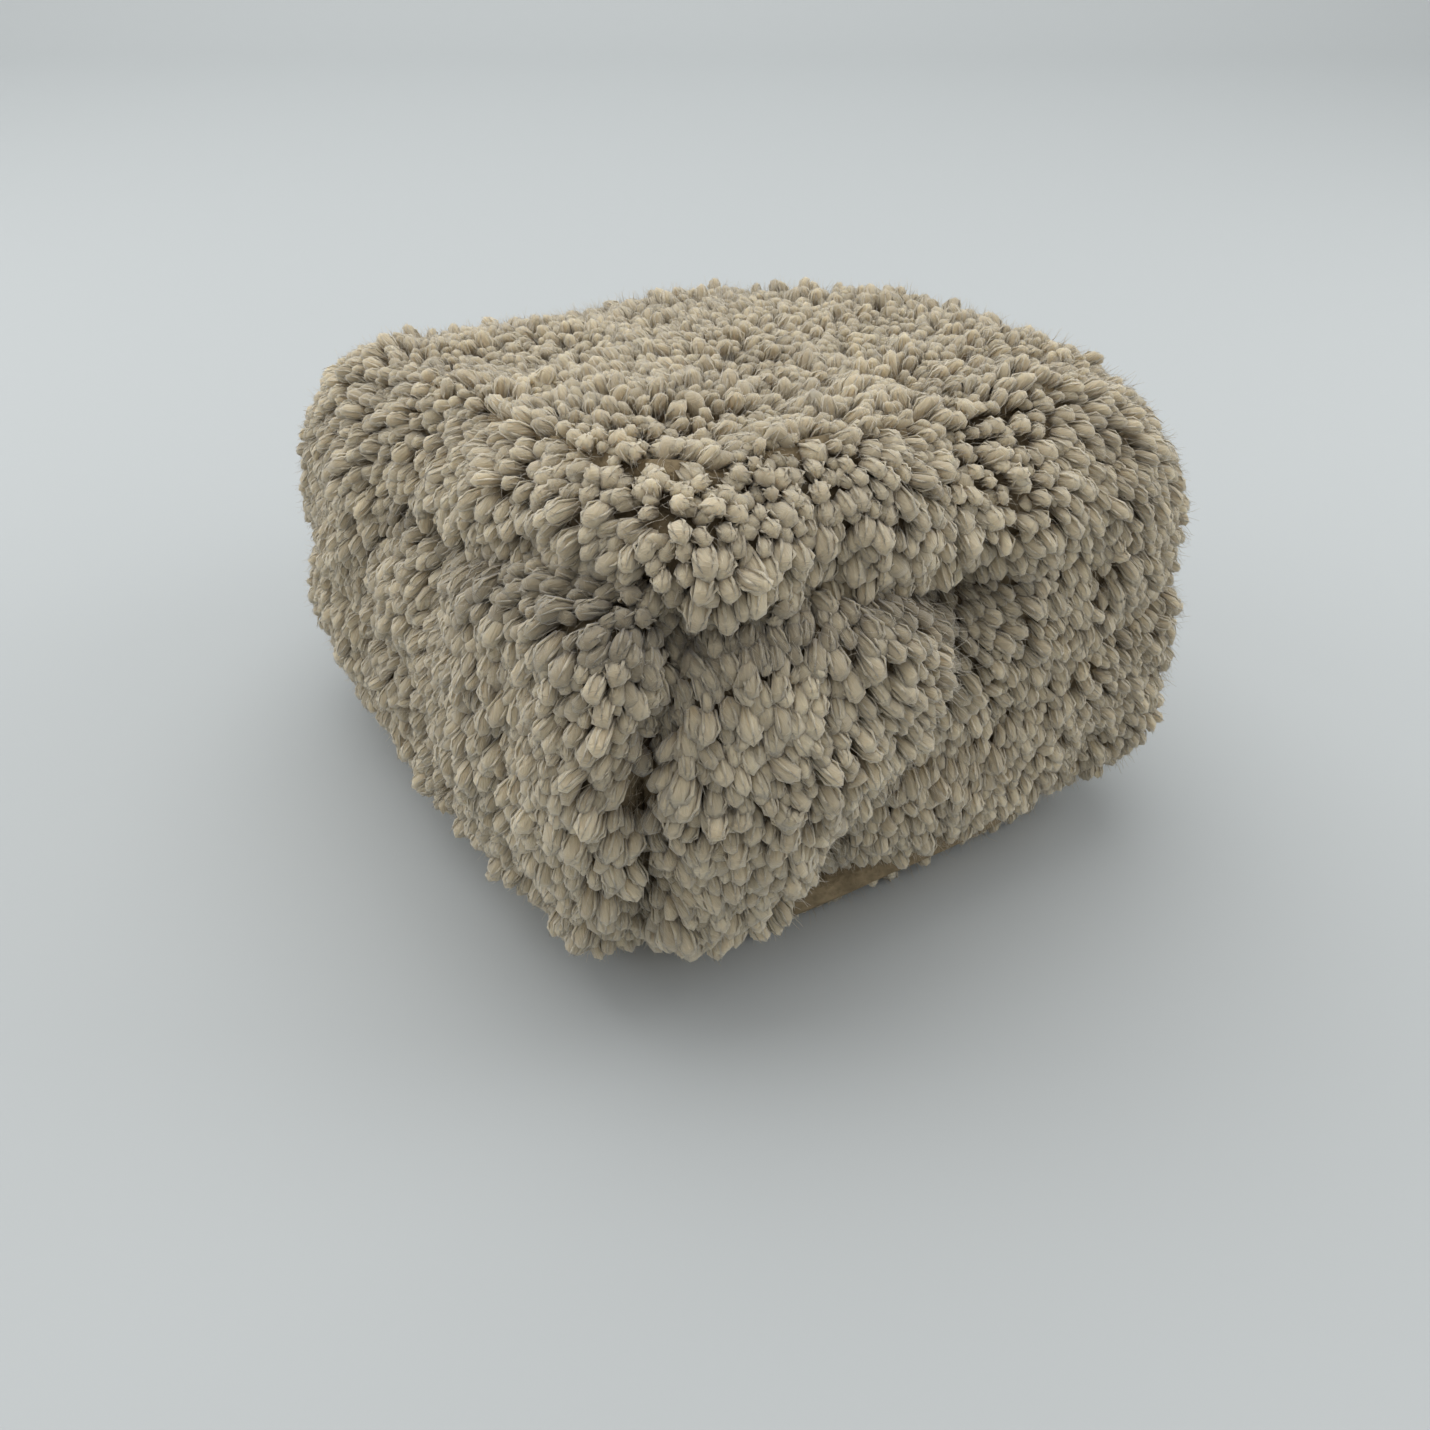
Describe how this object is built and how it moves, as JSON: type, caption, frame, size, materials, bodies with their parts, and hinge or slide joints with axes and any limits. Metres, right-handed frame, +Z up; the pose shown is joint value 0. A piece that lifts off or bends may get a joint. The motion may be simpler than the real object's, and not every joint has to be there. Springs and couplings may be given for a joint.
{
  "type": "wash mitt",
  "caption": "Block-shaped wool-pile wash mitt with a foam core, a hand pocket and a ribbed elastic cuff, for washing a car's paintwork by hand.",
  "frame": {"origin": "centre of the overall box in plan, on the surface that the mitt stands on", "axes": "+Z up out of the top pelt; +Y along the length, out of the hand opening; +X across the width"},
  "size_m": [0.1706, 0.2032, 0.1172],
  "materials": {
    "wool_pile": "matte",
    "foam": "matte",
    "lining": "matte",
    "rib_knit": "matte",
    "elastic": "matte",
    "binding_tape": "matte",
    "thread": "satin"
  },
  "bodies": {
    "root": {"upper_pelt": "wool_pile", "lower_pelt": "wool_pile", "corner_flap_left": "wool_pile", "corner_flap_right": "wool_pile", "upper_foam_pad": "foam", "lower_foam_pad": "foam", "foam_strip_left": "foam", "foam_strip_right": "foam", "foam_strip_front": "foam", "pocket_lining": "lining", "rib_cuff": "rib_knit", "cuff_elastic": "elastic", "opening_binding": "binding_tape", "cuff_thread": "thread", "side_seam_thread": "thread", "closing_seam_thread": "thread"}
  },
  "joints": []
}
